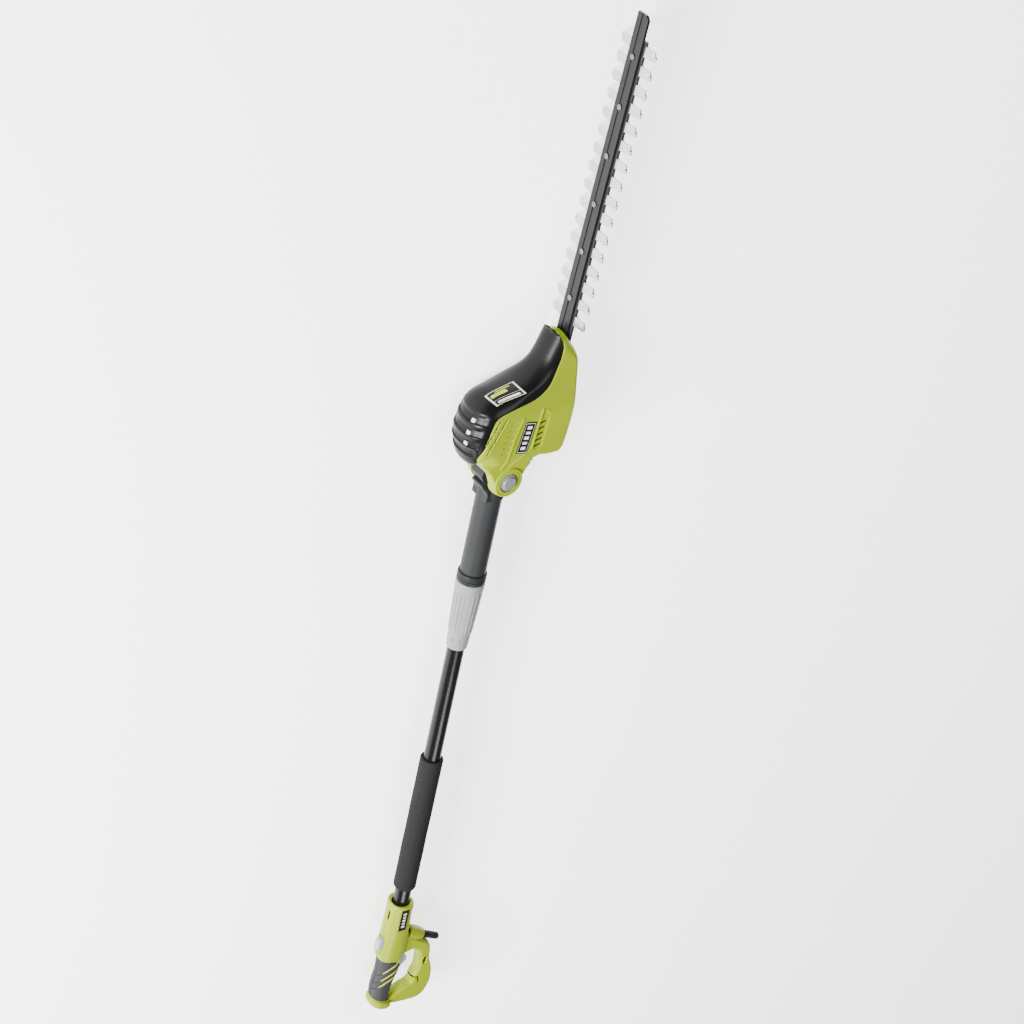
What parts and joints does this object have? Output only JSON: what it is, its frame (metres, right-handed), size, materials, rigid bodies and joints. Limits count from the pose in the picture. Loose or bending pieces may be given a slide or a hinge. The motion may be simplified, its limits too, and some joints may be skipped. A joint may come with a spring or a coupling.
{
  "type": "pole hedge trimmer",
  "caption": "Corded pole hedge trimmer: telescopic pole, closed rear handle, foam fore grip, tilting motor head and a double-sided reciprocating blade.",
  "frame": {"origin": "on the head's tilt axis, at the flat left end of the pivot, on the surface the tool lies on", "axes": "+X along the pole towards the blade, +Y towards the tool's top, +Z towards its right side, upwards as it lies"},
  "size_m": [1.8192, 0.183, 0.0815],
  "materials": {
    "lime_shell": "moulded, light satin",
    "bright_lime": "moulded, light satin",
    "black_gloss": "gloss",
    "label_black": "satin film",
    "grey_satin": "satin, finely grained",
    "grip_grey": "soft overmould",
    "light_grey": "satin",
    "white_plastic": "satin",
    "dark_plastic": "satin",
    "black_tube": "black gloss coat on aluminium",
    "alu_tube": "drawn, anodised",
    "foam": "closed-cell foam",
    "lead_rubber": "satin rubber",
    "bar_black": "black coat on steel",
    "blade_steel": "ground edges, black oxide body",
    "screw_steel": "dark zinc",
    "bright_steel": "turned",
    "gear_steel": "sintered",
    "cast_alloy": "die cast",
    "copper": "wound copper"
  },
  "bodies": {
    "handle": {"handle_shell_right": "lime_shell", "handle_shell_left": "lime_shell", "grip_right": "grip_grey", "grip_left": "grip_grey", "grip_stripes": "bright_lime", "trigger_spring": "bright_steel", "lock_spring": "bright_steel", "switch_body": "dark_plastic", "lead_boss": "lime_shell", "bend_protector": "lead_rubber", "lead_clamp": "dark_plastic", "lead_terminals": "white_plastic", "end_cap": "light_grey", "handle_badge": "label_black", "handle_screws": "screw_steel", "tube_bolt": "screw_steel", "coiled_lead": "lead_rubber", "outer_tube": "black_tube", "foam_grip": "foam", "collet": "white_plastic"},
    "trigger": {"trigger": "light_grey"},
    "lock_button": {"lock_button": "light_grey"},
    "twist_collar": {"twist_collar": "light_grey"},
    "shaft": {"sleeve": "grey_satin", "sleeve_flange": "grey_satin", "inner_tube": "alu_tube", "guide_shoe": "white_plastic"},
    "head": {"head_shell_right": "lime_shell", "head_shell_left": "lime_shell", "head_cover": "black_gloss", "head_badge": "label_black", "side_badges": "label_black", "ear_right": "bright_lime", "ear_left": "bright_lime", "knuckle_cup": "lime_shell", "pivot_pin": "bright_steel", "button_spring": "bright_steel", "blade_bar": "bar_black", "blade_screws": "screw_steel", "gear_case": "cast_alloy", "gear_plate": "cast_alloy", "motor_can": "bright_steel", "end_bell": "dark_plastic", "brush_holders": "copper", "motor_bearings": "bright_steel", "crank_bearings": "bright_steel", "head_screws": "screw_steel"},
    "pivot_button": {"pivot_button": "light_grey"},
    "armature": {"motor_shaft": "bright_steel", "armature": "copper", "commutator": "copper", "cooling_fan": "dark_plastic"},
    "crank": {"drive_gear": "gear_steel", "crank_shaft": "bright_steel"},
    "blade_upper": {"blade_upper": "blade_steel"},
    "blade_lower": {"blade_lower": "blade_steel"}
  },
  "joints": [
    {"name": "telescope", "type": "slide", "parent": "handle", "child": "shaft", "axis": [1, 0, 0], "range_m": [0, 0.5]},
    {"name": "collar_twist", "type": "hinge", "parent": "handle", "child": "twist_collar", "pos_m": [-0.223, 0, 0.04], "axis": [1, 0, 0], "range_deg": [0, 100]},
    {"name": "head_tilt", "type": "hinge", "parent": "shaft", "child": "head", "pos_m": [0, 0, 0.04], "axis": [0, 0, 1], "range_deg": [-90, 45]},
    {"name": "tilt_button", "type": "slide", "parent": "head", "child": "pivot_button", "axis": [0, 0, -1], "range_m": [0, 0.0018], "stiffness_N_per_m": 2500},
    {"name": "motor_spin", "type": "hinge", "parent": "head", "child": "armature", "pos_m": [0.08094, -0.00311, 0.04], "axis": [0.0384, 0.9993, 0], "continuous": true},
    {"name": "crank_spin", "type": "hinge", "parent": "head", "child": "crank", "pos_m": [0.11706, -0.0045, 0.04], "axis": [0.0384, 0.9993, 0], "continuous": true},
    {"name": "upper_blade", "type": "slide", "parent": "head", "child": "blade_upper", "axis": [0.9993, -0.0384, 0], "range_m": [-0.006, 0.006]},
    {"name": "lower_blade", "type": "slide", "parent": "head", "child": "blade_lower", "axis": [0.9993, -0.0384, 0], "range_m": [-0.006, 0.006]},
    {"name": "trigger_pull", "type": "slide", "parent": "handle", "child": "trigger", "axis": [0, 1, 0], "range_m": [0, 0.004], "stiffness_N_per_m": 900},
    {"name": "lock_press", "type": "slide", "parent": "handle", "child": "lock_button", "axis": [0, -1, 0], "range_m": [0, 0.003], "stiffness_N_per_m": 900}
  ],
  "couplings": [
    {"joint": "crank_spin", "follows": "motor_spin", "ratio": -0.2},
    {"joint": "lower_blade", "follows": "upper_blade", "ratio": -1}
  ]
}
